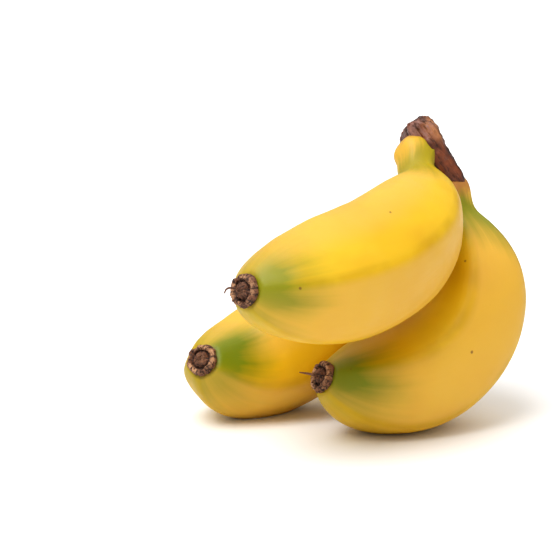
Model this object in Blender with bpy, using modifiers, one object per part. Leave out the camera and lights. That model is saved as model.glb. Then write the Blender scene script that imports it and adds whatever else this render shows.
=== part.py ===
"""A bunch of short, plump dessert bananas on their dried crown, lying on a table.

Run it with:  blender --background --python part.py

The sizes are in millimetres times MM, so the model is in metres. +X is to the right, +Y to the
back and +Z up. The origin is on the table, in the middle of the bunch's box.
"""

from dataclasses import dataclass
from math import cos, pi, radians, sin, tau

import bmesh
import bpy
from mathutils import Matrix, Vector
from mathutils.geometry import interpolate_bezier

MM = 0.001

# Driving dimensions.
BELLY_RADIUS = 21.0 * MM       # half the thickness of a banana at its fattest
RIDGE_HEIGHT = 0.03            # how far a ridge stands out, as a part of the radius
RIDGES = 5
TOUCH_GAP = 0.3 * MM           # kept between pieces that touch
SOCKET_EASE = 0.48 * MM        # how much wider a socket of the crown is than its stalk
SOCKET_REACH = 0.30            # how much of a banana's length the socket's cutter follows
BLOSSOM_RADIUS = 5.0 * MM
BLOSSOM_DEPTH = 3.2 * MM
TABLE_Z = 0.0

# Mesh density.
SIDES = 20
RINGS = 30
SOCKET_RINGS = 10
BLOSSOM_SIDES = 16
CROWN_SMOOTHING = 2

# A banana's thickness along its length: (part of the length, part of the belly's radius).
TAPER = (
    (0.00, 0.21),
    (0.04, 0.34),
    (0.08, 0.32),
    (0.13, 0.30),
    (0.22, 0.62),
    (0.35, 0.92),
    (0.50, 1.00),
    (0.65, 1.00),
    (0.80, 0.91),
    (0.91, 0.67),
    (0.97, 0.45),
    (1.00, 0.27),
)


@dataclass(frozen=True)
class Finger:
    """One banana: a curve from its root in the crown to its tip, in millimetres.

    The roll, in degrees, turns its ridges about the curve. At 0 one ridge runs along the
    outside of the bend.
    """

    name: str
    root: tuple
    stalk_handle: tuple
    tip_handle: tuple
    tip: tuple
    girth: float
    roll: float
    nub: float


@dataclass(frozen=True)
class CrownSlice:
    """One slice across the crown, hung from its upper front corner, in millimetres."""

    corner: tuple
    depth: float
    front_thickness: float
    back_thickness: float


FINGERS = (
    Finger("top", (19, 31, 94), (33, -4, 62), (-14, -27, 54.5), (-36.5, -50, 61), 1.00, 15, 2.5),
    Finger("front", (29.5, 30, 81.5), (55.5, 20, 38), (25, 9, 5), (-11.5, -9.5, 22), 0.97, -33, 5.0),
    Finger("back", (25.5, 43.5, 89), (15, 30.5, 56.5), (-30, 44, -2), (-52, 4, 24), 1.00, 27, 1.5),
)

CROWN_SLICES = (
    CrownSlice((22.0, 27, 104.5), 16, 5, 6),
    CrownSlice((26.0, 24, 105.0), 26, 11, 14),
    CrownSlice((29.7, 23, 97.0), 30, 12, 18),
    CrownSlice((35.5, 23, 88.0), 26, 12, 16),
    CrownSlice((39.3, 25, 81.0), 17, 10, 11),
)
CROWN_AXIS = (0.6, 0.0, -0.8)  # from the crown's top left end to its low right end
CROWN_FALL = 0.3               # how far its top falls for each step to the back


def millimetres(point):
    """Turns a point given in millimetres into metres."""
    return Vector(point) * MM


def clear_scene():
    """Removes whatever the new scene holds."""
    for old in list(bpy.data.objects):
        bpy.data.objects.remove(old, do_unlink=True)


def new_collection(name):
    """Adds an empty collection to the scene."""
    collection = bpy.data.collections.new(name)
    bpy.context.scene.collection.children.link(collection)
    return collection


def principled(name, colour, roughness):
    """Makes a plain non-metal material."""
    material = bpy.data.materials.new(name)
    material.use_nodes = True
    shader = material.node_tree.nodes["Principled BSDF"]
    shader.inputs["Base Color"].default_value = (*colour, 1.0)
    shader.inputs["Roughness"].default_value = roughness
    shader.inputs["Metallic"].default_value = 0.0
    return material


def add_object(name, bm, collection, material=None):
    """Turns a bmesh into an object of the collection."""
    bmesh.ops.recalc_face_normals(bm, faces=bm.faces)
    mesh = bpy.data.meshes.new(name)
    bm.to_mesh(mesh)
    bm.free()
    piece = bpy.data.objects.new(name, mesh)
    collection.objects.link(piece)
    if material is not None:
        mesh.materials.append(material)
    return piece


def taper_at(part):
    """Reads TAPER at a part of the length, with a smooth curve through its points."""
    places = [place for place, _ in TAPER]
    values = [value for _, value in TAPER]
    last = len(TAPER) - 2
    step = min(max(sum(part >= place for place in places) - 1, 0), last)
    slopes = []
    for index in (step, step + 1):
        before = max(index - 1, 0)
        after = min(index + 1, last + 1)
        rise = (values[index] - values[before]) * (values[after] - values[index])
        flat = rise < 0 and 0 < index <= last
        slope = (values[after] - values[before]) / (places[after] - places[before])
        slopes.append(0.0 if flat else slope)
    span = places[step + 1] - places[step]
    u = (part - places[step]) / span
    start = (1 + 2 * u) * (1 - u) ** 2 * values[step] + u * (1 - u) ** 2 * span * slopes[0]
    end = u * u * (3 - 2 * u) * values[step + 1] + u * u * (u - 1) * span * slopes[1]
    return start + end


class Spine:
    """The curve through the middle of a banana, measured by length."""

    FINE = 200

    def __init__(self, finger):
        handles = (finger.root, finger.stalk_handle, finger.tip_handle, finger.tip)
        knots = [millimetres(point) for point in handles]
        self.points = interpolate_bezier(*knots, self.FINE + 1)
        self.travelled = [0.0]
        for before, after in zip(self.points, self.points[1:]):
            self.travelled.append(self.travelled[-1] + (after - before).length)
        self.length = self.travelled[-1]
        self.bend_axis = (knots[1] - knots[0]).cross(knots[3] - knots[1]).normalized()

    def place(self, part):
        """Gives the point and the heading at a part of the length."""
        wanted = part * self.length
        index = sum(done <= wanted for done in self.travelled[1:-1])
        before, after = self.points[index], self.points[index + 1]
        step = self.travelled[index + 1] - self.travelled[index]
        point = before.lerp(after, (wanted - self.travelled[index]) / step)
        first = self.points[max(index - 1, 0)]
        second = self.points[min(index + 2, self.FINE)]
        return point, (second - first).normalized()

    def axes(self, part):
        """Gives the point, the heading, the sideways axis and the axis out of the bend."""
        point, heading = self.place(part)
        side = (self.bend_axis - heading * self.bend_axis.dot(heading)).normalized()
        return point, heading, side, heading.cross(side)


def loft(rings):
    """Skins a closed body over rings of points that all have the same count."""
    bm = bmesh.new()
    loops = [[bm.verts.new(point) for point in ring] for ring in rings]
    for low, high in zip(loops, loops[1:]):
        for index, corner in enumerate(low):
            following = (index + 1) % len(low)
            bm.faces.new((corner, low[following], high[following], high[index]))
    bm.faces.new(loops[0])
    bm.faces.new(loops[-1])
    return bm


def banana_ring(finger, spine, part, ease=0.0):
    """Gives the ridged outline of a banana across a part of its length, made wider by ease."""
    point, _, side, outwards = spine.axes(part)
    radius = taper_at(part) * BELLY_RADIUS * finger.girth + ease
    roll = radians(finger.roll)
    ridge = RIDGE_HEIGHT * sin(pi * part)
    ring = []
    for index in range(SIDES):
        angle = tau * index / SIDES
        reach = radius * (1 + ridge * cos(RIDGES * (angle - roll)))
        ring.append(point + (outwards * cos(angle) + side * sin(angle)) * reach)
    return ring


def flatten_on_table(bm):
    """Cuts away what would sink into the table and closes the flat patch."""
    everything = bm.verts[:] + bm.edges[:] + bm.faces[:]
    cut = bmesh.ops.bisect_plane(
        bm, geom=everything, plane_co=(0, 0, TABLE_Z), plane_no=(0, 0, 1), clear_inner=True
    )
    rim = [item for item in cut["geom_cut"] if isinstance(item, bmesh.types.BMEdge)]
    if rim:
        bmesh.ops.contextual_create(bm, geom=rim)


def add_banana(finger, collection):
    """Lofts a banana along its spine, from its root to its tip."""
    spine = Spine(finger)
    bm = loft([banana_ring(finger, spine, index / RINGS) for index in range(RINGS + 1)])
    flatten_on_table(bm)
    root = millimetres(finger.root)
    bmesh.ops.translate(bm, vec=-root, verts=bm.verts)
    skin = principled(f"skin_{finger.name}", (0.86, 0.56, 0.06), 0.42)
    banana = add_object(f"banana_{finger.name}", bm, collection, skin)
    banana.location = root
    return banana


def add_socket_cutter(finger, collection):
    """Makes the cutter for a stalk's hole in the crown."""
    spine = Spine(finger)
    _, heading = spine.place(0.0)
    rings = []
    for index in range(SOCKET_RINGS + 1):
        part = SOCKET_REACH * index / SOCKET_RINGS
        rings.append(banana_ring(finger, spine, part, SOCKET_EASE))
    rings[0] = [point - heading * TOUCH_GAP for point in rings[0]]
    cutter = add_object(f"socket_{finger.name}", loft(rings), collection)
    cutter.display_type = "WIRE"
    cutter.hide_render = True
    return cutter


def add_crown(sockets, collection):
    """Makes the dried strap that the stalks grew from, with a socket for each stalk."""
    across = Vector(CROWN_AXIS).cross(Vector((0, 1, 0)))
    rings = []
    for part in CROWN_SLICES:
        front_top = Vector(part.corner)
        back_top = front_top + Vector((0, part.depth, -part.depth * CROWN_FALL))
        back_low = back_top - across * part.back_thickness
        front_low = front_top - across * part.front_thickness
        rings.append([corner * MM for corner in (front_top, back_top, back_low, front_low)])
    dried = principled("dried_crown", (0.20, 0.075, 0.03), 0.75)
    crown = add_object("crown", loft(rings), collection, dried)
    smooth = crown.modifiers.new("smooth", "SUBSURF")
    smooth.levels = CROWN_SMOOTHING
    smooth.render_levels = CROWN_SMOOTHING
    for socket in sockets:
        cut = crown.modifiers.new(socket.name, "BOOLEAN")
        cut.operation = "DIFFERENCE"
        cut.solver = "EXACT"
        cut.object = socket
    return crown


def blossom_profile(finger):
    """Gives the turned outline of a dried blossom end, from its nub down to its back."""
    radius = BLOSSOM_RADIUS * finger.girth
    face = BLOSSOM_DEPTH
    nub_top = face + finger.nub * MM
    return (
        (0.0, nub_top),
        (radius * 0.16, nub_top - 0.3 * MM),
        (radius * 0.30, face),
        (radius * 0.62, face),
        (radius * 0.90, face - 0.5 * MM),
        (radius * 1.04, face * 0.5),
        (radius * 0.96, 0.0),
        (0.0, 0.0),
    )


def add_blossom_end(finger, collection):
    """Turns the dried remains of the flower and sets them on a banana's tip."""
    bm = bmesh.new()
    outline = [bm.verts.new((reach, 0, height)) for reach, height in blossom_profile(finger)]
    for upper, lower in zip(outline, outline[1:]):
        bm.edges.new((upper, lower))
    dried = principled(f"dried_blossom_{finger.name}", (0.17, 0.075, 0.035), 0.8)
    piece = add_object(f"blossom_end_{finger.name}", bm, collection, dried)
    turn = piece.modifiers.new("turn", "SCREW")
    turn.axis = "Z"
    turn.steps = BLOSSOM_SIDES
    turn.render_steps = BLOSSOM_SIDES
    turn.use_merge_vertices = True
    turn.merge_threshold = 0.00001
    turn.use_normal_calculate = True
    point, heading, _, _ = Spine(finger).axes(1.0)
    spin = heading.to_track_quat("Z", "Y").to_matrix().to_4x4()
    piece.matrix_world = Matrix.Translation(point + heading * TOUCH_GAP) @ spin
    return piece


def main():
    """Builds the whole bunch."""
    clear_scene()
    bunch = new_collection("bunch_of_bananas")
    cutters = new_collection("cutters")
    for finger in FINGERS:
        add_banana(finger, bunch)
        add_blossom_end(finger, bunch)
    sockets = [add_socket_cutter(finger, cutters) for finger in FINGERS]
    add_crown(sockets, bunch)


main()
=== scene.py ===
"""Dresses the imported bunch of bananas: ripe peel, dried crown, dried blossom ends and a studio."""

import logging
import math
from dataclasses import dataclass
from enum import Enum

import bmesh
import bpy
import numpy as np
from mathutils import Matrix, Vector
from mathutils.geometry import interpolate_bezier


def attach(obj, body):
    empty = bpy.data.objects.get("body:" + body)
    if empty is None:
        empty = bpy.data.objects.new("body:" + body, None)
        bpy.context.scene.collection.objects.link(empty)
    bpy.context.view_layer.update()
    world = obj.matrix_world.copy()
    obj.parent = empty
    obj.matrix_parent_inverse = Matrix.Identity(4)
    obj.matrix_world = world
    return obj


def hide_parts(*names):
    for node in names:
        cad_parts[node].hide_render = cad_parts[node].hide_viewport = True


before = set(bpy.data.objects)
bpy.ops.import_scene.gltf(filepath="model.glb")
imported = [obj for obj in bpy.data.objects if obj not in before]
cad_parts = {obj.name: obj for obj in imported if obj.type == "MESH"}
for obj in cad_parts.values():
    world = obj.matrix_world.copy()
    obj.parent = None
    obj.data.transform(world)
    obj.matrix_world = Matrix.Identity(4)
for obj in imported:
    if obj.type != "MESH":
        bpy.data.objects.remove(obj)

MM = 0.001
Colour = tuple[float, float, float]
Point = tuple[float, float, float]
Socket = bpy.types.NodeSocket
Number = float | Socket
Tint = Colour | Socket

log = logging.getLogger("bananas")


# ---------------------------------------------------------------------------------------------
# Hand tools: short wrappers round the operators used on every piece.


def set_down_tools() -> None:
    """Leaves edit mode and deselects everything, ready for the next piece."""
    if bpy.context.object and bpy.context.object.mode != "OBJECT":
        bpy.ops.object.mode_set(mode="OBJECT")
    bpy.ops.object.select_all(action="DESELECT")


def take_up(piece: bpy.types.Object) -> None:
    """Makes one piece the selected and active one."""
    set_down_tools()
    piece.select_set(True)
    bpy.context.view_layer.objects.active = piece


def apply_all(piece: bpy.types.Object) -> None:
    """Applies every modifier of a piece, from the top of its stack down."""
    take_up(piece)
    for modifier in list(piece.modifiers):
        bpy.ops.object.modifier_apply(modifier=modifier.name)


def smooth_by_cage(piece: bpy.types.Object, levels: int) -> None:
    """Subdivides a coarse cage into a smooth surface.

    Args:
        piece: The cage.
        levels: How often each face is divided.
    """
    smooth = piece.modifiers.new("smooth", "SUBSURF")
    smooth.levels = levels
    smooth.render_levels = levels
    apply_all(piece)


class Lumps(Enum):
    """The kinds of lumps that a surface can have."""

    SOFT = "CLOUDS"
    CELLS = "VORONOI"


def lump(
    piece: bpy.types.Object,
    kind: Lumps,
    size: float,
    depth: float,
    guide: bpy.types.Object | None = None,
) -> None:
    """Pushes the surface in and out by a noise.

    Args:
        piece: The object to displace.
        kind: The kind of lumps.
        size: The size of a lump in metres.
        depth: How far the surface moves from lowest to highest, in metres.
        guide: An optional empty whose axes stretch the noise.
    """
    texture = bpy.data.textures.new(f"{piece.name}_{kind.value.lower()}", kind.value)
    texture.noise_scale = size
    press = piece.modifiers.new("lumps", "DISPLACE")
    press.texture = texture
    press.strength = depth
    press.mid_level = 0.5
    press.texture_coords = "OBJECT" if guide else "LOCAL"
    press.texture_coords_object = guide
    apply_all(piece)


def tidy_mesh(piece: bpy.types.Object) -> None:
    """Merges doubles, turns all faces outwards and shades the piece smooth.

    Args:
        piece: The finished piece.
    """
    take_up(piece)
    bpy.ops.object.mode_set(mode="EDIT")
    bpy.ops.mesh.select_all(action="SELECT")
    bpy.ops.mesh.remove_doubles(threshold=0.000002)
    bpy.ops.mesh.normals_make_consistent(inside=False)
    bpy.ops.object.mode_set(mode="OBJECT")
    bpy.ops.object.shade_smooth()
    set_down_tools()


def settle_in_mesh(piece: bpy.types.Object) -> None:
    """Puts the piece's place and turn into its mesh."""
    take_up(piece)
    bpy.ops.object.transform_apply(location=True, rotation=True, scale=True)
    set_down_tools()


def coordinates(mesh: bpy.types.Mesh) -> np.ndarray:
    """Reads a mesh's corners.

    Args:
        mesh: The mesh to read.

    Returns:
        One row of x, y, z for each vertex.
    """
    flat = np.empty(len(mesh.vertices) * 3)
    mesh.vertices.foreach_get("co", flat)
    return flat.reshape(-1, 3)


def move_corners(mesh: bpy.types.Mesh, corners: np.ndarray) -> None:
    """Puts a mesh's corners in new places, one row of x, y, z for each."""
    mesh.vertices.foreach_set("co", corners.ravel())
    mesh.update()


def store_marks(mesh: bpy.types.Mesh, name: str, marks: tuple[np.ndarray, ...]) -> None:
    """Stores three values on each corner, for a material to read.

    Args:
        mesh: The mesh to mark.
        name: The attribute's name.
        marks: The three values, each with one number for each vertex.
    """
    store = mesh.attributes.new(name, "FLOAT_VECTOR", "POINT")
    store.data.foreach_set("vector", np.stack(marks, axis=1).astype(np.float32).ravel())


# ---------------------------------------------------------------------------------------------
# Finishes.


class Graph:
    """A material's or a group's nodes, with short ways to add and join them."""

    def __init__(self, tree: bpy.types.NodeTree) -> None:
        """Keeps the tree to build in."""
        self.tree = tree

    def add(
        self, kind: str, inputs: dict[int | str, object] | None = None, **settings: object
    ) -> bpy.types.Node:
        """Adds a node, sets its options and fills or links its inputs.

        Args:
            kind: The node's type without "ShaderNode".
            inputs: Values or sockets by input name or number.
            **settings: Attributes of the node.

        Returns:
            The new node.
        """
        node = self.tree.nodes.new("ShaderNode" + kind)
        for name, value in settings.items():
            setattr(node, name, value)
        for key, value in (inputs or {}).items():
            if isinstance(value, bpy.types.NodeSocket):
                self.tree.links.new(value, node.inputs[key])
            else:
                node.inputs[key].default_value = value
        return node

    def math(
        self, operation: str, first: Number, second: Number = 0.0, clamp: bool = False
    ) -> Socket:
        """Adds a Math node.

        Args:
            operation: The node's operation.
            first: A number or a socket.
            second: A number or a socket.
            clamp: Whether to keep the result from 0 to 1.

        Returns:
            The result's socket.
        """
        node = self.add("Math", {0: first, 1: second}, operation=operation, use_clamp=clamp)
        return node.outputs[0]

    def ramp(
        self, value: Socket, low: float, high: float, to_low: float = 0.0, to_high: float = 1.0
    ) -> Socket:
        """Maps a value smoothly from one range to another.

        Args:
            value: The socket to map.
            low: Where the range starts.
            high: Where it ends.
            to_low: The result at low.
            to_high: The result at high.

        Returns:
            The result's socket.
        """
        inputs = {"Value": value, 1: low, 2: high, 3: to_low, 4: to_high}
        node = self.add("MapRange", inputs, interpolation_type="SMOOTHSTEP")
        return node.outputs[0]

    def here(self) -> Socket:
        """Reads the object's own coordinate."""
        return self.add("TexCoord").outputs["Object"]

    def noise(
        self, place: Socket, scale: float, detail: float = 2.0, rough: float = 0.5
    ) -> Socket:
        """Adds a noise.

        Args:
            place: The coordinate socket.
            scale: How many lumps there are in one unit.
            detail: How many finer layers it has.
            rough: How strong the finer layers are.

        Returns:
            The value's socket, about 0.5 on average.
        """
        inputs = {"Vector": place, "Scale": scale, "Detail": detail, "Roughness": rough}
        return self.add("TexNoise", inputs).outputs[0]

    def mix(self, share: Number, under: Tint, over: Tint) -> Socket:
        """Mixes two colours.

        Args:
            share: How much of the second shows.
            under: The first colour or socket.
            over: The second colour or socket.

        Returns:
            The mixed colour's socket.
        """
        node = self.tree.nodes.new("ShaderNodeMix")
        node.data_type = "RGBA"
        for key, value in ((0, share), (6, under), (7, over)):
            if isinstance(value, bpy.types.NodeSocket):
                self.tree.links.new(value, node.inputs[key])
            elif key:
                node.inputs[key].default_value = (*value, 1.0)
            else:
                node.inputs[key].default_value = value
        return node.outputs[2]

    def dress(
        self, shader: bpy.types.Node, colour: Socket, rough: Socket, bump: dict[str, Number]
    ) -> None:
        """Joins a finish to its shader.

        Args:
            shader: The Principled shader.
            colour: The colour's socket.
            rough: The roughness socket.
            bump: The Bump node's Height, Strength and Distance.
        """
        relief = self.add("Bump", bump).outputs[0]
        parts = (("Base Color", colour), ("Roughness", rough), ("Normal", relief))
        for label, socket in parts:
            self.tree.links.new(socket, shader.inputs[label])


def new_group(
    name: str, inputs: dict[str, float | Colour], outputs: dict[str, str]
) -> tuple[bpy.types.NodeTree, Graph, bpy.types.Node, bpy.types.Node]:
    """Starts a shader node group with named inputs and outputs.

    Args:
        name: The group's name.
        inputs: Each input's default, a number or a colour.
        outputs: Each output's socket type.

    Returns:
        The group's tree, its Graph, its input node and its output node.
    """
    tree = bpy.data.node_groups.new(name, "ShaderNodeTree")
    for label, default in inputs.items():
        kind = "NodeSocketColor" if isinstance(default, tuple) else "NodeSocketFloat"
        socket = tree.interface.new_socket(label, in_out="INPUT", socket_type=kind)
        socket.default_value = (*default, 1.0) if isinstance(default, tuple) else default
    for label, kind in outputs.items():
        tree.interface.new_socket(label, in_out="OUTPUT", socket_type=kind)
    enter = tree.nodes.new("NodeGroupInput")
    leave = tree.nodes.new("NodeGroupOutput")
    return tree, Graph(tree), enter, leave


def new_material(name: str) -> tuple[bpy.types.Material, Graph, bpy.types.Node]:
    """Starts a material with one Principled shader.

    Args:
        name: The material's name.

    Returns:
        The material, its Graph and its shader.
    """
    material = bpy.data.materials.new(name)
    material.use_nodes = True
    tree = material.node_tree
    return material, Graph(tree), tree.nodes["Principled BSDF"]


class PeelPattern:
    """The node group that paints ripe peel from a banana's own length and round."""

    NAME = "peel_pattern"
    RIDGES = 5
    RIDGE_EDGE: Colour = (0.50, 0.285, 0.001)
    # Painted floor reflection: the colour that pales the lower face as if the white floor lit it.
    PAINTED_REFLECTION: Colour = (0.68, 0.39, 0.07)
    # Painted highlight: the colour that pales the upper face as if lit from above, a set turn round
    # from the painted reflection.
    PAINTED_HIGHLIGHT: Colour = (0.70, 0.435, 0.09)
    HIGHLIGHT_TURN_FROM_REFLECTION = 122.0
    SPECK: Colour = (0.15, 0.06, 0.01)
    SPECK_CELLS = 105.0
    BARE_CELLS = 0.62
    BLOSSOM_RIM: Colour = (0.10, 0.05, 0.015)
    DRIED_STALK: Colour = (0.36, 0.14, 0.035)

    def __init__(self) -> None:
        """Starts the group with its inputs and outputs."""
        inputs = {
            "Yellow": (0.69, 0.395, 0.002),
            "Light Yellow": (0.73, 0.46, 0.014),
            "Deep Yellow": (0.57, 0.295, 0.001),
            "Green": (0.165, 0.205, 0.001),
            "Green Tip": 0.9,
            "Green Neck": 0.4,
            "Tip Reach": 0.22,
            "Green Side": 0.0,
            "Painted Reflection Side": 0.0,
            "Dry Neck": 0.03,
        }
        outputs = {"Color": "NodeSocketColor", "Roughness": "NodeSocketFloat",
                   "Height": "NodeSocketFloat"}
        self.tree, self.graph, self.enter, self.leave = new_group(self.NAME, inputs, outputs)

    def build(self) -> bpy.types.NodeTree:
        """Builds the group once.

        Returns:
            The group's tree.
        """
        along, angle, wrapped, ridge = self.places()
        colour = self.ground_colour(angle, ridge)
        colour = self.greens(colour, along, angle, wrapped)
        colour, specks = self.marks(colour, along)
        for result, label in zip((colour, *self.touch(wrapped, specks)),
                                 ("Color", "Roughness", "Height")):
            self.tree.links.new(result, self.leave.inputs[label])
        return self.tree

    def places(self) -> tuple[Socket, Socket, Socket, Socket]:
        """Reads where on the banana a point is.

        Returns:
            The part of the length, the angle round the peel, a coordinate wrapped round the
            peel, and 1 on a ridge.
        """
        graph = self.graph
        peel = graph.add("Attribute", attribute_name="peel").outputs["Vector"]
        parts = graph.add("SeparateXYZ", {0: peel})
        along = parts.outputs[2]
        angle = graph.math("ARCTAN2", parts.outputs[1], parts.outputs[0])
        wave = graph.math("COSINE", graph.math("MULTIPLY", angle, float(self.RIDGES)))
        ridge = graph.ramp(wave, 0.72, 1.0)
        wrapped = graph.add("Mapping", {0: peel, 3: (1.0, 1.0, 0.35)}).outputs[0]
        return along, angle, wrapped, ridge

    def towards(self, angle: Socket, side: Number, low: float, high: float) -> Socket:
        """Masks the part of the round that faces one side.

        Args:
            angle: The angle round the peel.
            side: The side's angle.
            low: The cosine where the mask starts.
            high: The cosine where it is full.

        Returns:
            The mask's socket.
        """
        away = self.graph.math("COSINE", self.graph.math("SUBTRACT", angle, side))
        return self.graph.ramp(away, low, high)

    def ground_colour(self, angle: Socket, ridge: Socket) -> Socket:
        """Mixes the ripe yellows, then paints a floor reflection on the lower face and a highlight
        on the upper face.

        Args:
            angle: The angle round the peel.
            ridge: 1 on a ridge.

        Returns:
            The colour's socket.
        """
        graph, enter = self.graph, self.enter
        here = graph.here()
        broad = graph.ramp(graph.noise(here, 30.0, 3.0), 0.36, 0.66, 0.0, 0.8)
        colour = graph.mix(broad, enter.outputs["Yellow"], enter.outputs["Light Yellow"])
        deep = graph.ramp(graph.noise(here, 48.0, 2.0), 0.45, 0.72, 0.0, 0.45)
        colour = graph.mix(deep, colour, enter.outputs["Deep Yellow"])
        worn = graph.ramp(graph.noise(here, 70.0, 3.0), 0.35, 0.65, 0.05, 0.5)
        colour = graph.mix(graph.math("MULTIPLY", ridge, worn), colour, self.RIDGE_EDGE)
        # Painted floor reflection: the lower face is paled as if lit by the white floor below.
        low = self.towards(angle, enter.outputs["Painted Reflection Side"], 0.79, 0.88)
        colour = graph.mix(graph.math("MULTIPLY", low, 0.6), colour, self.PAINTED_REFLECTION)
        # Painted highlight: the upper face, a set turn round from the painted reflection, is paled
        # as if lit from above.
        turn = math.radians(self.HIGHLIGHT_TURN_FROM_REFLECTION)
        across = graph.math("ADD", enter.outputs["Painted Reflection Side"], turn)
        high = self.towards(angle, across, 0.45, 0.90)
        return graph.mix(graph.math("MULTIPLY", high, 0.55), colour, self.PAINTED_HIGHLIGHT)

    def greens(self, colour: Socket, along: Socket, angle: Socket, wrapped: Socket) -> Socket:
        """Lays the unripe green on the tip and the neck.

        Args:
            colour: The colour so far.
            along: The part of the length.
            angle: The angle round the peel.
            wrapped: The coordinate wrapped round the peel.

        Returns:
            The colour's socket.
        """
        graph, enter = self.graph, self.enter
        here = graph.here()
        blotch = graph.math("SUBTRACT", graph.noise(here, 60.0, 3.0), 0.5)
        streak = graph.math("SUBTRACT", graph.noise(wrapped, 5.0, 2.0), 0.5)
        shift = graph.math("ADD", graph.math("MULTIPLY", blotch, 0.09),
                           graph.math("MULTIPLY", streak, 0.10))
        side = self.towards(angle, enter.outputs["Green Side"], 0.45, 1.0)
        shift = graph.math("ADD", shift, graph.math("MULTIPLY", side, 0.06))
        place = graph.math("ADD", along, shift)
        start = graph.math("SUBTRACT", 1.0, enter.outputs["Tip Reach"])
        past = graph.math("SUBTRACT", place, start)
        tip = graph.math("DIVIDE", past, enter.outputs["Tip Reach"], clamp=True)
        strong = graph.math("ADD", graph.math("MULTIPLY", side, 0.45), 0.55)
        tip = graph.math("MULTIPLY", graph.math("POWER", tip, 1.5), strong)
        tip = graph.math("MULTIPLY", tip, enter.outputs["Green Tip"])
        colour = graph.mix(tip, colour, enter.outputs["Green"])
        near = graph.ramp(place, 0.05, 0.13)
        far = graph.ramp(place, 0.15, 0.32, 1.0, 0.0)
        neck = graph.math("MULTIPLY", near, far)
        neck = graph.math("MULTIPLY", neck, enter.outputs["Green Neck"])
        return graph.mix(neck, colour, enter.outputs["Green"])

    def marks(self, colour: Socket, along: Socket) -> tuple[Socket, Socket]:
        """Adds the small brown specks and the brown edges at both ends.

        Args:
            colour: The colour so far.
            along: The part of the length.

        Returns:
            The colour's socket and the specks' mask.
        """
        graph, enter = self.graph, self.enter
        here = graph.here()
        bent = graph.noise(here, 500.0, 2.0)
        cells = graph.add("TexVoronoi", {"Vector": here, "Scale": self.SPECK_CELLS})
        ragged = graph.math("ADD", cells.outputs["Distance"], graph.math("MULTIPLY", bent, 0.06))
        close = graph.ramp(ragged, 0.060, 0.105, 1.0, 0.0)
        chance = graph.add("SeparateColor", {0: cells.outputs["Color"]}).outputs[0]
        few = graph.math("GREATER_THAN", chance, self.BARE_CELLS)
        specks = graph.math("MULTIPLY", close, few)
        colour = graph.mix(graph.math("MULTIPLY", specks, 0.8), colour, self.SPECK)
        rim = graph.ramp(along, 0.9965, 0.9995, 0.0, 0.35)
        colour = graph.mix(rim, colour, self.BLOSSOM_RIM)
        ragged = graph.math("MULTIPLY", graph.math("SUBTRACT", bent, 0.5), 0.03)
        dried = graph.math("SUBTRACT", enter.outputs["Dry Neck"], graph.math("ADD", along, ragged))
        stalk = graph.ramp(dried, -0.01, 0.04, 0.0, 0.85)
        return graph.mix(stalk, colour, self.DRIED_STALK), specks

    def touch(self, wrapped: Socket, specks: Socket) -> tuple[Socket, Socket]:
        """Gives the peel its waxy feel.

        Args:
            wrapped: The coordinate wrapped round the peel.
            specks: The specks' mask.

        Returns:
            The roughness and the height sockets.
        """
        graph = self.graph
        here = graph.here()
        fine = graph.noise(here, 900.0, 3.0, 0.6)
        lines = graph.noise(wrapped, 26.0, 2.0)
        rough = graph.ramp(graph.noise(here, 160.0, 3.0), 0.3, 0.7, 0.40, 0.52)
        height = graph.math("ADD", graph.math("MULTIPLY", fine, 0.35), lines)
        return rough, graph.math("SUBTRACT", height, graph.math("MULTIPLY", specks, 0.6))


@dataclass(frozen=True)
class PeelFinish:
    """One banana's peel: how green its ends are, which side is greenest, and which side gets the
    painted floor reflection.

    Sides are in degrees round the peel, and reaches are parts of the length.
    """

    green_tip: float
    green_neck: float
    tip_reach: float
    green_side: float
    painted_reflection_side: float
    dry_neck: float

    def make(self, name: str) -> bpy.types.Material:
        """Makes the peel's material.

        Args:
            name: The banana's name.

        Returns:
            The material.
        """
        material, graph, shader = new_material(f"peel_{name}")
        group = bpy.data.node_groups.get(PeelPattern.NAME) or PeelPattern().build()
        settings = {
            "Green Tip": self.green_tip,
            "Green Neck": self.green_neck,
            "Tip Reach": self.tip_reach,
            "Green Side": math.radians(self.green_side),
            "Painted Reflection Side": math.radians(self.painted_reflection_side),
            "Dry Neck": self.dry_neck,
        }
        colour, rough, height = graph.add("Group", settings, node_tree=group).outputs
        graph.dress(shader, colour, rough,
                    {"Height": height, "Strength": 0.12, "Distance": 0.0004})
        shader.inputs["Specular IOR Level"].default_value = 0.34
        shader.inputs["Subsurface Weight"].default_value = 0.10
        shader.inputs["Subsurface Radius"].default_value = (1.0, 0.45, 0.05)
        shader.inputs["Subsurface Scale"].default_value = 0.002
        return material


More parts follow.
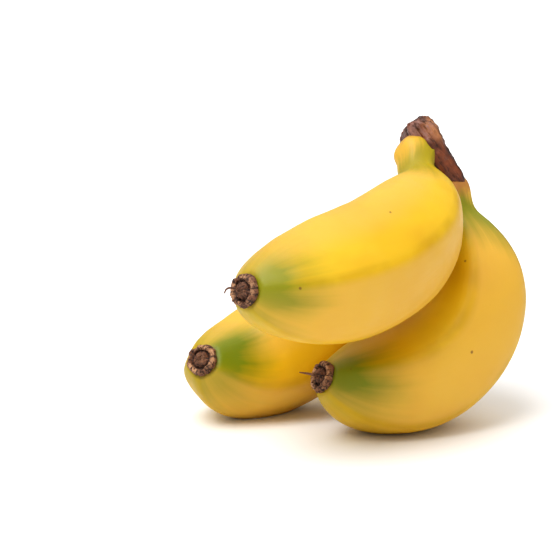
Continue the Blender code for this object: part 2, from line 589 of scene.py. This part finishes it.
@dataclass(frozen=True)
class CrownFinish:
    """Dried crown: red-brown leathery fibre with a tan cut facet and near-black edges."""

    dark: Colour = (0.014, 0.004, 0.003)
    brown: Colour = (0.095, 0.024, 0.008)
    red: Colour = (0.200, 0.048, 0.012)
    tan: Colour = (0.44, 0.18, 0.065)
    grey: Colour = (0.26, 0.125, 0.095)
    facet: Point = (0.0285, 0.0245, 0.1025)
    fibre_top: Point = (0.0205, 0.0245, 0.1000)

    def near(
        self, graph: Graph, here: Socket, place: Point, inner: float, outer: float
    ) -> Socket:
        """Masks what is close to a place.

        Args:
            graph: The material's graph.
            here: The coordinate socket.
            place: The middle of the mask.
            inner: How far out it is full, in metres.
            outer: How far out it ends, in metres.

        Returns:
            The mask's socket.
        """
        away = graph.add("VectorMath", {0: here, 1: place}, operation="DISTANCE")
        return graph.ramp(away.outputs["Value"], inner, outer, 1.0, 0.0)

    def make(self, name: str) -> bpy.types.Material:
        """Makes the crown's material.

        Args:
            name: The material's name.

        Returns:
            The material.
        """
        material, graph, shader = new_material(name)
        here = graph.here()
        turn = graph.add("Mapping", {0: here, 2: (0.0, math.radians(37.0), 0.0)}).outputs[0]
        laid = graph.add("Mapping", {0: turn, 3: (1.0, 1.0, 0.13)}).outputs[0]
        fibres = graph.noise(laid, 620.0, 5.0, 0.65)
        strips = graph.noise(laid, 210.0, 3.0, 0.55)
        patches = graph.noise(here, 130.0, 3.0)
        colour = graph.mix(graph.ramp(patches, 0.38, 0.62), self.brown, self.red)
        colour = graph.mix(graph.ramp(strips, 0.34, 0.50, 0.92, 0.0), colour, self.dark)
        facet = self.near(graph, here, self.facet, 0.0035, 0.0085)
        facet = graph.math("MULTIPLY", facet, graph.ramp(strips, 0.36, 0.50, 0.25, 1.0))
        colour = graph.mix(facet, colour, self.tan)
        top = self.near(graph, here, self.fibre_top, 0.0030, 0.0070)
        top = graph.math("MULTIPLY", top, graph.ramp(fibres, 0.42, 0.60))
        colour = graph.mix(top, colour, self.grey)
        thin = graph.ramp(fibres, 0.36, 0.50, 0.7, 0.0)
        colour = graph.mix(thin, colour, self.dark)
        bright = graph.math("MULTIPLY", graph.ramp(fibres, 0.58, 0.72), 0.35)
        colour = graph.mix(bright, colour, self.tan)
        graph.dress(shader, colour, graph.ramp(fibres, 0.3, 0.7, 0.75, 0.42),
                    {"Height": fibres, "Strength": 0.5, "Distance": 0.0005})
        return material


@dataclass(frozen=True)
class BlossomFinish:
    """Dried sepals: tan ribs on a brown ring, round a dark middle, with painted shade in the groove
    between them.
    """

    dark: Colour = (0.028, 0.011, 0.006)
    brown: Colour = (0.17, 0.065, 0.028)
    tan: Colour = (0.50, 0.27, 0.14)
    dome: Colour = (0.32, 0.16, 0.085)
    # Where the groove with its painted shade lies, as a part of the widest reach.
    painted_shade_groove: float = 0.58

    def make(self, name: str) -> bpy.types.Material:
        """Makes the blossom's material.

        Args:
            name: The material's name.

        Returns:
            The material.
        """
        material, graph, shader = new_material(name)
        here = graph.here()
        relief = graph.add("Attribute", attribute_name="relief").outputs["Vector"]
        parts = graph.add("SeparateXYZ", {0: relief})
        turned = graph.math("COSINE", parts.outputs[2]), graph.math("SINE", parts.outputs[2])
        spokes = graph.add("CombineXYZ", {0: turned[0], 1: turned[1]}).outputs[0]
        spokes = graph.add("VectorMath", {0: spokes, 3: 5.0}, operation="SCALE").outputs[0]
        flat = graph.add("CombineXYZ", {2: graph.math("MULTIPLY", parts.outputs[0], 1.6)})
        spokes = graph.add("VectorMath", {0: spokes, 1: flat.outputs[0]}, operation="ADD")
        ribs = graph.noise(spokes.outputs[0], 1.0, 3.0, 0.55)
        speckle = graph.noise(here, 1300.0, 3.0, 0.6)
        grain = graph.math("ADD", graph.math("MULTIPLY", ribs, 0.45),
                           graph.math("MULTIPLY", speckle, 0.55))
        patches = graph.noise(here, 260.0, 3.0)
        colour = graph.mix(graph.ramp(grain, 0.40, 0.56), self.dark, self.brown)
        inner = graph.ramp(parts.outputs[0], 0.56, 0.74)
        outer = graph.ramp(parts.outputs[0], 0.90, 1.0, 1.0, 0.15)
        ring = graph.math("MULTIPLY", inner, outer)
        for mask in (graph.ramp(patches, 0.36, 0.60), graph.ramp(grain, 0.43, 0.55, 0.1, 1.0)):
            ring = graph.math("MULTIPLY", ring, mask)
        colour = graph.mix(ring, colour, self.tan)
        dome = graph.ramp(parts.outputs[0], 0.25, 0.45, 0.5, 0.0)
        dome = graph.math("MULTIPLY", dome, graph.ramp(patches, 0.4, 0.65))
        colour = graph.mix(dome, colour, self.dome)
        # Painted shade: the groove between the ring and the middle is darkened as if it lay in
        # shadow.
        off_valley = graph.math("SUBTRACT", parts.outputs[0], self.painted_shade_groove)
        painted_shade_groove = graph.ramp(graph.math("ABSOLUTE", off_valley), 0.03, 0.11, 0.75, 0.0)
        colour = graph.mix(painted_shade_groove, colour, self.dark)
        graph.dress(shader, colour, graph.ramp(grain, 0.3, 0.7, 0.85, 0.55),
                    {"Height": grain, "Strength": 0.5, "Distance": 0.0003})
        return material


# ---------------------------------------------------------------------------------------------
# The bananas.


@dataclass(frozen=True)
class Thread:
    """A dried style thread: its path from the blossom's middle and its thickness."""

    path: tuple[Point, ...]
    thick: float
    thin: float


@dataclass(frozen=True)
class BlossomPlan:
    """What is one blossom end's own: its nub's height, its thread and its unevenness."""

    nub: float
    thread: Thread | None
    seed: int


@dataclass(frozen=True)
class FingerPlan:
    """One banana's curve in millimetres, how it is turned, its peel and its blossom end.

    The curve is the solids' own, apart from the root of the back banana, which sits 2 mm deeper
    in the crown.
    """

    name: str
    root: Point
    stalk_handle: Point
    tip_handle: Point
    tip: Point
    girth: float
    ridge_turn: float
    neck_pull: Point
    peel: PeelFinish
    blossom: BlossomPlan


class Spine:
    """The curve through the middle of a banana."""

    FINE = 200

    def __init__(self, plan: FingerPlan) -> None:
        """Measures the curve of one banana's plan."""
        handles = (plan.root, plan.stalk_handle, plan.tip_handle, plan.tip)
        self.knots = [Vector(point) * MM for point in handles]
        self.points = interpolate_bezier(*self.knots, self.FINE + 1)
        steps = [(b - a).length for a, b in zip(self.points, self.points[1:])]
        self.length = sum(steps)

    @property
    def heading_at_tip(self) -> Vector:
        """Which way the tip points."""
        return (self.knots[3] - self.knots[2]).normalized()

    def as_path(self) -> bpy.types.Object:
        """Makes the curve that bends a straight banana.

        Returns:
            A curve object.
        """
        data = bpy.data.curves.new("spine", "CURVE")
        data.dimensions = "3D"
        data.resolution_u = 64
        data.twist_mode = "MINIMUM"
        spline = data.splines.new("BEZIER")
        spline.bezier_points.add(1)
        first, last = spline.bezier_points
        for point in (first, last):
            point.handle_left_type = "FREE"
            point.handle_right_type = "FREE"
        first.co, first.handle_right = self.knots[0], self.knots[1]
        first.handle_left = self.knots[0] * 2 - self.knots[1]
        last.co, last.handle_left = self.knots[3], self.knots[2]
        last.handle_right = self.knots[3] * 2 - self.knots[2]
        path = bpy.data.objects.new("spine", data)
        bpy.context.scene.collection.objects.link(path)
        return path


@dataclass
class Banana:
    """Builds and dresses one banana."""

    plan: FingerPlan
    belly_radius: float = 21.0 * MM
    sides: int = 20
    ridge_rise: float = 1.075
    hollow_fall: float = 0.962
    table: float = 0.0
    swell_size: float = 22 * MM
    swell_depth: float = 0.9 * MM
    neck_at: float = 0.110
    neck_width: float = 0.032
    taper: tuple[tuple[float, float], ...] = (
        (0.000, 0.21), (0.014, 0.30), (0.035, 0.355), (0.060, 0.350), (0.085, 0.315),
        (0.110, 0.295), (0.130, 0.31), (0.155, 0.39), (0.190, 0.53), (0.240, 0.71), (0.300, 0.84),
        (0.360, 0.925), (0.430, 0.98), (0.500, 1.00), (0.570, 1.01), (0.650, 1.01),
        (0.720, 0.975), (0.780, 0.92), (0.840, 0.835), (0.890, 0.73), (0.930, 0.61),
        (0.965, 0.475), (0.990, 0.34), (1.000, 0.27),
    )

    def make(self) -> bpy.types.Object:
        """Builds the banana.

        Returns:
            The finished piece.
        """
        spine = Spine(self.plan)
        piece = self.straight_body(spine.length)
        smooth_by_cage(piece, 3)
        lump(piece, Lumps.SOFT, self.swell_size, self.swell_depth)
        self.mark_peel(piece, spine.length)
        self.bend(piece, spine)
        self.pull_neck(piece)
        self.settle_on_table(piece)
        tidy_mesh(piece)
        piece.data.materials.append(self.plan.peel.make(self.plan.name))
        log.info("%s: %d faces", piece.name, len(piece.data.polygons))
        return piece

    def straight_body(self, length: float) -> bpy.types.Object:
        """Draws the banana out straight from its ridged stalk end.

        Args:
            length: The length along the middle.

        Returns:
            The coarse straight body.
        """
        set_down_tools()
        girth = self.belly_radius * self.plan.girth
        bpy.ops.mesh.primitive_circle_add(vertices=self.sides, radius=girth, fill_type="NGON")
        piece = bpy.context.object
        piece.name = f"peel_{self.plan.name}"
        bpy.ops.object.mode_set(mode="EDIT")
        self.shape_section(piece)
        bpy.ops.mesh.select_all(action="SELECT")
        self.resize(self.taper[0][1], 0.0)
        for (before, was), (part, size) in zip(self.taper, self.taper[1:]):
            rise = (0.0, 0.0, (part - before) * length)
            bpy.ops.mesh.extrude_region_move(TRANSFORM_OT_translate={"value": rise})
            self.resize(size / was, part * length)
        bpy.ops.object.mode_set(mode="OBJECT")
        return piece

    def shape_section(self, piece: bpy.types.Object) -> None:
        """Pulls the ridges out of the round section and sinks the hollows between them.

        Args:
            piece: The flat round section, in edit mode.
        """
        step = self.sides // PeelPattern.RIDGES
        for offset, scale in ((0, self.ridge_rise), (step // 2, self.hollow_fall)):
            section = bmesh.from_edit_mesh(piece.data)
            section.verts.ensure_lookup_table()
            for face in section.faces:
                face.select_set(False)
            for vertex in section.verts:
                angle = math.atan2(vertex.co.y, vertex.co.x) % math.tau
                place = round(angle / math.tau * self.sides)
                vertex.select_set(place % step == offset)
            bmesh.update_edit_mesh(piece.data)
            self.resize(scale, 0.0)

    @staticmethod
    def resize(scale: float, height: float) -> None:
        """Scales what is selected about the straight banana's middle.

        Args:
            scale: How much wider it becomes.
            height: How far along the length it is.
        """
        bpy.ops.transform.resize(value=(scale, scale, 1.0), center_override=(0.0, 0.0, height))

    def mark_peel(self, piece: bpy.types.Object, length: float) -> None:
        """Stores round and along on each corner, for the peel's pattern.

        Args:
            piece: The straight body.
            length: The length along the middle.
        """
        corners = coordinates(piece.data)
        angle = np.arctan2(corners[:, 1], corners[:, 0])
        along = corners[:, 2] / length
        store_marks(piece.data, "peel", (np.cos(angle), np.sin(angle), along))

    def bend(self, piece: bpy.types.Object, spine: Spine) -> None:
        """Turns the ridges to their place and bends the body along its spine.

        Args:
            piece: The straight body.
            spine: The banana's curve.
        """
        take_up(piece)
        piece.rotation_euler.z = math.radians(self.plan.ridge_turn)
        bpy.ops.object.transform_apply(rotation=True, location=False, scale=False)
        path = spine.as_path()
        curve = piece.modifiers.new("bend", "CURVE")
        curve.object = path
        curve.deform_axis = "POS_Z"
        apply_all(piece)
        bpy.data.objects.remove(path)

    def pull_neck(self, piece: bpy.types.Object) -> None:
        """Leans the narrow neck a little to one side, fading out along the peel.

        Args:
            piece: The bent banana.
        """
        corners = coordinates(piece.data)
        marks = np.empty(corners.size)
        piece.data.attributes["peel"].data.foreach_get("vector", marks)
        along = marks.reshape(-1, 3)[:, 2]
        share = np.exp(-(((along - self.neck_at) / self.neck_width) ** 2))
        corners += share[:, None] * np.array(self.plan.neck_pull) * MM
        move_corners(piece.data, corners)

    def settle_on_table(self, piece: bpy.types.Object) -> None:
        """Presses flat what would sink into the table."""
        corners = coordinates(piece.data)
        corners[:, 2] = np.maximum(corners[:, 2], self.table)
        move_corners(piece.data, corners)


# ---------------------------------------------------------------------------------------------
# The dried blossom ends.


@dataclass
class BlossomEnd:
    """Builds the dried remains of a flower on a banana's tip."""

    plan: FingerPlan
    sides: int = 36
    widest: float = 5.3
    tallest: float = 3.0
    frayed_from: float = 3.2
    frayed_to: float = 5.2
    frayed_above: float = 0.5
    thread_root: float = 2.6
    rings: tuple[tuple[float, float], ...] = (
        (4.70, -0.80), (5.10, 0.10), (5.35, 0.70), (5.30, 1.50), (4.95, 2.20), (4.40, 2.60),
        (3.85, 2.45), (3.40, 1.80), (3.10, 1.30), (2.85, 1.50), (2.50, 2.10), (2.00, 2.75),
        (1.35, 3.15), (0.70, 3.30),
    )

    def make(self) -> bpy.types.Object:
        """Builds the blossom end at its banana's tip.

        Returns:
            The finished piece.
        """
        piece = self.raise_rings()
        self.fray(piece)
        smooth_by_cage(piece, 2)
        lump(piece, Lumps.SOFT, 2.4 * MM, 1.3 * MM)
        lump(piece, Lumps.SOFT, 0.6 * MM, 0.35 * MM)
        self.mark_rings(piece)
        spine = Spine(self.plan)
        turn = spine.heading_at_tip.to_track_quat("Z", "Y").to_matrix().to_4x4()
        piece.matrix_world = Matrix.Translation(spine.knots[3]) @ turn
        settle_in_mesh(piece)
        if self.plan.blossom.thread:
            start = spine.knots[3] + spine.heading_at_tip * self.thread_root * MM
            self.add_thread(piece, start, self.plan.blossom.thread)
        tidy_mesh(piece)
        log.info("%s: %d faces", piece.name, len(piece.data.polygons))
        return piece

    def raise_rings(self) -> bpy.types.Object:
        """Raises and sinks the rings of the dried face, one extrusion after another.

        Returns:
            The coarse blossom end, standing on the origin.
        """
        set_down_tools()
        wide, height = self.rings[0]
        bpy.ops.mesh.primitive_circle_add(
            vertices=self.sides, radius=wide * MM, fill_type="NGON", location=(0, 0, height * MM)
        )
        piece = bpy.context.object
        piece.name = f"blossom_{self.plan.name}"
        settle_in_mesh(piece)
        take_up(piece)
        bpy.ops.object.mode_set(mode="EDIT")
        bpy.ops.mesh.select_all(action="SELECT")
        for wider, higher in self.rings[1:]:
            rise = (0, 0, (higher - height) * MM)
            bpy.ops.mesh.extrude_region_move(TRANSFORM_OT_translate={"value": rise})
            share = wider / wide
            bpy.ops.transform.resize(value=(share, share, 1), center_override=(0, 0, higher * MM))
            wide, height = wider, higher
        rise = (0, 0, self.plan.blossom.nub * MM)
        bpy.ops.mesh.extrude_region_move(TRANSFORM_OT_translate={"value": rise})
        bpy.ops.transform.resize(value=(0.4, 0.4, 1), center_override=(0, 0, height * MM))
        bpy.ops.object.mode_set(mode="OBJECT")
        return piece

    def fray(self, piece: bpy.types.Object) -> None:
        """Scallops the ring and makes it uneven, as dried sepals leave it.

        Args:
            piece: The coarse blossom end.
        """
        take_up(piece)
        bpy.ops.object.mode_set(mode="EDIT")
        bpy.ops.mesh.select_all(action="DESELECT")
        body = bmesh.from_edit_mesh(piece.data)
        step = math.tau / self.sides
        for vertex in body.verts:
            away = math.hypot(vertex.co.x, vertex.co.y)
            place = round(math.atan2(vertex.co.y, vertex.co.x) / step)
            in_ring = self.frayed_from * MM < away < self.frayed_to * MM
            if in_ring and vertex.co.z > self.frayed_above * MM:
                vertex.select_set(place % 2 == 0)
        bmesh.update_edit_mesh(piece.data)
        bpy.ops.transform.resize(value=(0.965, 0.965, 0.90), center_override=(0, 0, 0))
        bpy.ops.mesh.select_all(action="SELECT")
        seed = self.plan.blossom.seed
        bpy.ops.transform.vertex_random(offset=0.30 * MM, uniform=0.7, normal=0.3, seed=seed)
        bpy.ops.object.mode_set(mode="OBJECT")

    def mark_rings(self, piece: bpy.types.Object) -> None:
        """Stores how far out and how high each corner is, for the dried pattern.

        Args:
            piece: The blossom end, standing on the origin.
        """
        corners = coordinates(piece.data) / MM
        away = np.hypot(corners[:, 0], corners[:, 1]) / self.widest
        around = np.arctan2(corners[:, 1], corners[:, 0])
        store_marks(piece.data, "relief", (away, corners[:, 2] / self.tallest, around))

    def add_thread(self, piece: bpy.types.Object, start: Vector, plan: Thread) -> None:
        """Grows the thin dried thread from the blossom's middle.

        Args:
            piece: The blossom end in its place.
            start: Where the thread starts.
            plan: The thread's path and thickness.
        """
        data = bpy.data.curves.new("thread", "CURVE")
        data.dimensions = "3D"
        data.bevel_depth = 1.0
        data.bevel_resolution = 3
        data.resolution_u = 8
        data.use_fill_caps = True
        spline = data.splines.new("BEZIER")
        last = len(plan.path) - 1
        spline.bezier_points.add(last)
        for index, (point, place) in enumerate(zip(spline.bezier_points, plan.path)):
            point.co = start + Vector(place) * MM
            point.handle_left_type = "AUTO"
            point.handle_right_type = "AUTO"
            share = index / last
            point.radius = (plan.thick * (1 - share) + plan.thin * share) * MM
        thread = bpy.data.objects.new("thread", data)
        bpy.context.scene.collection.objects.link(thread)
        take_up(thread)
        bpy.ops.object.convert(target="MESH")
        thread = bpy.context.object
        thread.select_set(True)
        piece.select_set(True)
        bpy.context.view_layer.objects.active = piece
        bpy.ops.object.join()
        set_down_tools()


# ---------------------------------------------------------------------------------------------
# The crown.


@dataclass(frozen=True)
class CrownCut:
    """One cut across the crown, hung from its upper front corner, in millimetres."""

    corner: Point
    depth: float
    front: float
    back: float


@dataclass
class Crown:
    """Builds the dried crown that holds the stalks."""

    cuts: tuple[CrownCut, ...] = (
        CrownCut((20.8, 28.0, 102.4), 17, 4.0, 6.0),
        CrownCut((22.8, 25.5, 104.6), 24, 7.5, 10.5),
        CrownCut((26.4, 23.8, 105.0), 31, 11.0, 15.0),
        CrownCut((29.2, 23.0, 98.6), 33.5, 12.0, 18.0),
        CrownCut((31.8, 22.8, 92.6), 33.5, 12.0, 18.5),
        CrownCut((35.1, 23.0, 87.4), 31, 12.0, 18.0),
        CrownCut((39.6, 24.8, 79.8), 18, 10.0, 12.0),
    )
    axis: Point = (0.6, 0.0, -0.8)
    fall: float = 0.26
    crispness: float = 0.35
    lengthways: float = 0.7
    fibre_stretch: float = 7.0

    def make(self) -> bpy.types.Object:
        """Builds the crown.

        Returns:
            The finished piece.
        """
        piece = self.strap()
        self.keep_edges(piece)
        smooth_by_cage(piece, 3)
        guide = self.fibre_guide()
        lump(piece, Lumps.SOFT, 5 * MM, 3.0 * MM)
        lump(piece, Lumps.CELLS, 3.0 * MM, 2.2 * MM, guide)
        smooth_by_cage(piece, 1)
        lump(piece, Lumps.SOFT, 1.1 * MM, 1.3 * MM, guide)
        lump(piece, Lumps.SOFT, 0.7 * MM, 0.35 * MM)
        bpy.data.objects.remove(guide)
        tidy_mesh(piece)
        log.info("%s: %d faces", piece.name, len(piece.data.polygons))
        return piece

    def strap(self) -> bpy.types.Object:
        """Draws the strap out of a small plate, cut after cut, down to the lowest stalk.

        Returns:
            The coarse strap.
        """
        set_down_tools()
        bpy.ops.mesh.primitive_plane_add(size=1 * MM)
        piece = bpy.context.object
        piece.name = "dried_crown"
        bpy.ops.object.mode_set(mode="EDIT")
        self.place_corners(piece, self.cuts[0])
        for cut in self.cuts[1:]:
            bpy.ops.mesh.extrude_region_move(TRANSFORM_OT_translate={"value": (0, 0, -1 * MM)})
            self.place_corners(piece, cut)
        bpy.ops.mesh.select_all(action="SELECT")
        bpy.ops.mesh.normals_make_consistent(inside=False)
        bpy.ops.object.mode_set(mode="OBJECT")
        return piece

    def place_corners(self, piece: bpy.types.Object, cut: CrownCut) -> None:
        """Moves the four corners of the open end to a cut's own corners.

        Args:
            piece: The strap, in edit mode with its end selected.
            cut: Where the end goes.
        """
        across = Vector(self.axis).cross(Vector((0, 1, 0)))
        front_top = Vector(cut.corner)
        back_top = front_top + Vector((0, cut.depth, -cut.depth * self.fall))
        back_low = back_top - across * cut.back
        front_low = front_top - across * cut.front
        body = bmesh.from_edit_mesh(piece.data)
        end = [face for face in body.faces if face.select][0]
        for corner, place in zip(end.verts, (front_top, back_top, back_low, front_low)):
            corner.co = place * MM
        bmesh.update_edit_mesh(piece.data)

    def keep_edges(self, piece: bpy.types.Object) -> None:
        """Keeps the strap's long edges crisp.

        Args:
            piece: The coarse strap.
        """
        axis = Vector(self.axis)
        crease = piece.data.attributes.new("crease_edge", "FLOAT", "EDGE")
        for edge in piece.data.edges:
            first, second = (piece.data.vertices[index].co for index in edge.vertices)
            way = (second - first).normalized()
            along = abs(way.dot(axis)) > self.lengthways
            crease.data[edge.index].value = self.crispness if along else 0.0

    def fibre_guide(self) -> bpy.types.Object:
        """Sets up an empty whose long axis lies along the fibres.

        Returns:
            The empty.
        """
        guide = bpy.data.objects.new("fibre_guide", None)
        bpy.context.scene.collection.objects.link(guide)
        guide.rotation_euler = Vector(self.axis).to_track_quat("Z", "Y").to_euler()
        guide.scale = (1.0, 1.0, self.fibre_stretch)
        bpy.context.view_layer.update()
        return guide


# ---------------------------------------------------------------------------------------------
# The studio.


@dataclass
class Studio:
    """A pale floor, soft light and the camera."""

    aim: Point = (-26.2, 3.0, 52.2)
    distance: float = 700.0
    elevation: float = 13.0
    lens: float = 135.0
    floor_size: float = 12.0
    floor_drop: float = 0.05

    def floor(self) -> None:
        """Lays the pale floor."""
        set_down_tools()
        low = (0, 0, -self.floor_drop * MM)
        bpy.ops.mesh.primitive_plane_add(size=self.floor_size, location=low)
        floor = bpy.context.object
        floor.name = "floor"
        material, graph, shader = new_material("pale_floor")
        here = graph.here()
        faint = graph.ramp(graph.noise(here, 3.0), 0.3, 0.7)
        colour = graph.mix(faint, (0.90, 0.90, 0.90), (0.93, 0.93, 0.93))
        material.node_tree.links.new(colour, shader.inputs["Base Color"])
        shader.inputs["Roughness"].default_value = 0.8
        floor.data.materials.append(material)

    def soft_sun(self, name: str, source: Point, angle: float, strength: float) -> None:
        """Sets a wide soft light that falls evenly over the floor.

        Args:
            name: The light's name.
            source: Which way the light comes from.
            angle: How wide it looks from the table, in degrees.
            strength: Its strength.
        """
        data = bpy.data.lights.new(name, "SUN")
        data.angle = math.radians(angle)
        data.energy = strength
        light = bpy.data.objects.new(name, data)
        light.location = source
        light.rotation_euler = (-Vector(source)).to_track_quat("-Z", "Y").to_euler()
        bpy.context.scene.collection.objects.link(light)

    def lights(self) -> None:
        """Sets the white surroundings and the soft lights."""
        world = bpy.data.worlds.new("white_room")
        bpy.context.scene.world = world
        world.use_nodes = True
        graph = Graph(world.node_tree)
        up = graph.add("SeparateXYZ", {0: graph.add("TexCoord").outputs["Generated"]}).outputs[2]
        glow = graph.ramp(up, 0.15, 0.85, 0.36, 1.0)
        world.node_tree.links.new(glow, world.node_tree.nodes["Background"].inputs[1])
        world.node_tree.nodes["Background"].inputs[0].default_value = (1.0, 1.0, 1.0, 1.0)
        self.soft_sun("key", (-0.32, -0.34, 0.88), 40.0, 1.9)

    def camera(self) -> None:
        """Sets the camera."""
        rise = math.radians(self.elevation)
        back = Vector((0.0, -math.cos(rise), math.sin(rise)))
        data = bpy.data.cameras.new("camera")
        data.lens = self.lens
        data.sensor_width = 36.0
        data.clip_start = 0.01
        data.clip_end = 50.0
        camera = bpy.data.objects.new("camera", data)
        camera.location = (Vector(self.aim) + back * self.distance) * MM
        camera.rotation_euler = (-back).to_track_quat("-Z", "Y").to_euler()
        bpy.context.scene.collection.objects.link(camera)
        bpy.context.scene.camera = camera
        bpy.context.scene.view_settings.view_transform = "Standard"
        bpy.context.scene.view_settings.look = "Medium High Contrast"


# ---------------------------------------------------------------------------------------------
# The whole bunch.


PLANS = (
    FingerPlan(
        name="top",
        root=(19, 31, 94),
        stalk_handle=(33, -4, 62),
        tip_handle=(-14, -27, 54.5),
        tip=(-36.5, -50, 61),
        girth=1.00,
        ridge_turn=-18.4,
        neck_pull=(-1.3, 0.0, 0.0),
        peel=PeelFinish(0.85, 0.60, 0.160, green_side=80.0, painted_reflection_side=36.0, dry_neck=0.03),
        blossom=BlossomPlan(
            nub=0.9,
            thread=Thread(((0, 0, 0), (-2.2, -0.4, 0.9), (-4.2, -0.6, 0.7), (-5.0, -0.6, -0.7)),
                          thick=0.50, thin=0.20),
            seed=3,
        ),
    ),
    FingerPlan(
        name="front",
        root=(29.5, 30, 81.5),
        stalk_handle=(55.5, 20, 38),
        tip_handle=(25, 9, 5),
        tip=(-11.5, -9.5, 22),
        girth=0.97,
        ridge_turn=82.7,
        neck_pull=(-0.4, 0.0, 0.0),
        peel=PeelFinish(0.95, 0.85, 0.205, green_side=62.0, painted_reflection_side=36.0, dry_neck=0.08),
        blossom=BlossomPlan(
            nub=0.6,
            thread=Thread(((0, 0, 0), (-3.6, -0.8, 0.9), (-6.2, -1.2, 1.4)),
                          thick=0.60, thin=0.16),
            seed=5,
        ),
    ),
    FingerPlan(
        name="back",
        root=(25.8, 41.5, 88.2),
        stalk_handle=(15, 30.5, 56.5),
        tip_handle=(-30, 44, -2),
        tip=(-52, 4, 24),
        girth=1.00,
        ridge_turn=-62.5,
        neck_pull=(0.5, 0.0, 0.0),
        peel=PeelFinish(1.0, 0.50, 0.175, green_side=118.0, painted_reflection_side=36.0, dry_neck=0.12),
        blossom=BlossomPlan(nub=0.3, thread=None, seed=8),
    ),
)


def dress_bananas() -> None:
    """Builds the three bananas and their blossom ends."""
    dried = BlossomFinish().make("dried_blossom")
    for plan in PLANS:
        piece = Banana(plan).make()
        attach(piece, "root")
        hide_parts(f"banana_{plan.name}")
        blossom = BlossomEnd(plan).make()
        blossom.data.materials.append(dried)
        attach(blossom, "root")
        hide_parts(f"blossom_end_{plan.name}")


def dress_crown() -> None:
    """Builds the crown."""
    piece = Crown().make()
    piece.data.materials.append(CrownFinish().make("dried_crown"))
    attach(piece, "root")
    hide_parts("crown")


def main() -> None:
    """Builds the finished bunch and the studio."""
    logging.basicConfig(level=logging.INFO, format="%(name)s: %(message)s")
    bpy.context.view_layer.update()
    studio = Studio()
    studio.camera()
    studio.floor()
    studio.lights()
    dress_bananas()
    dress_crown()


if __name__ == "__main__":
    main()
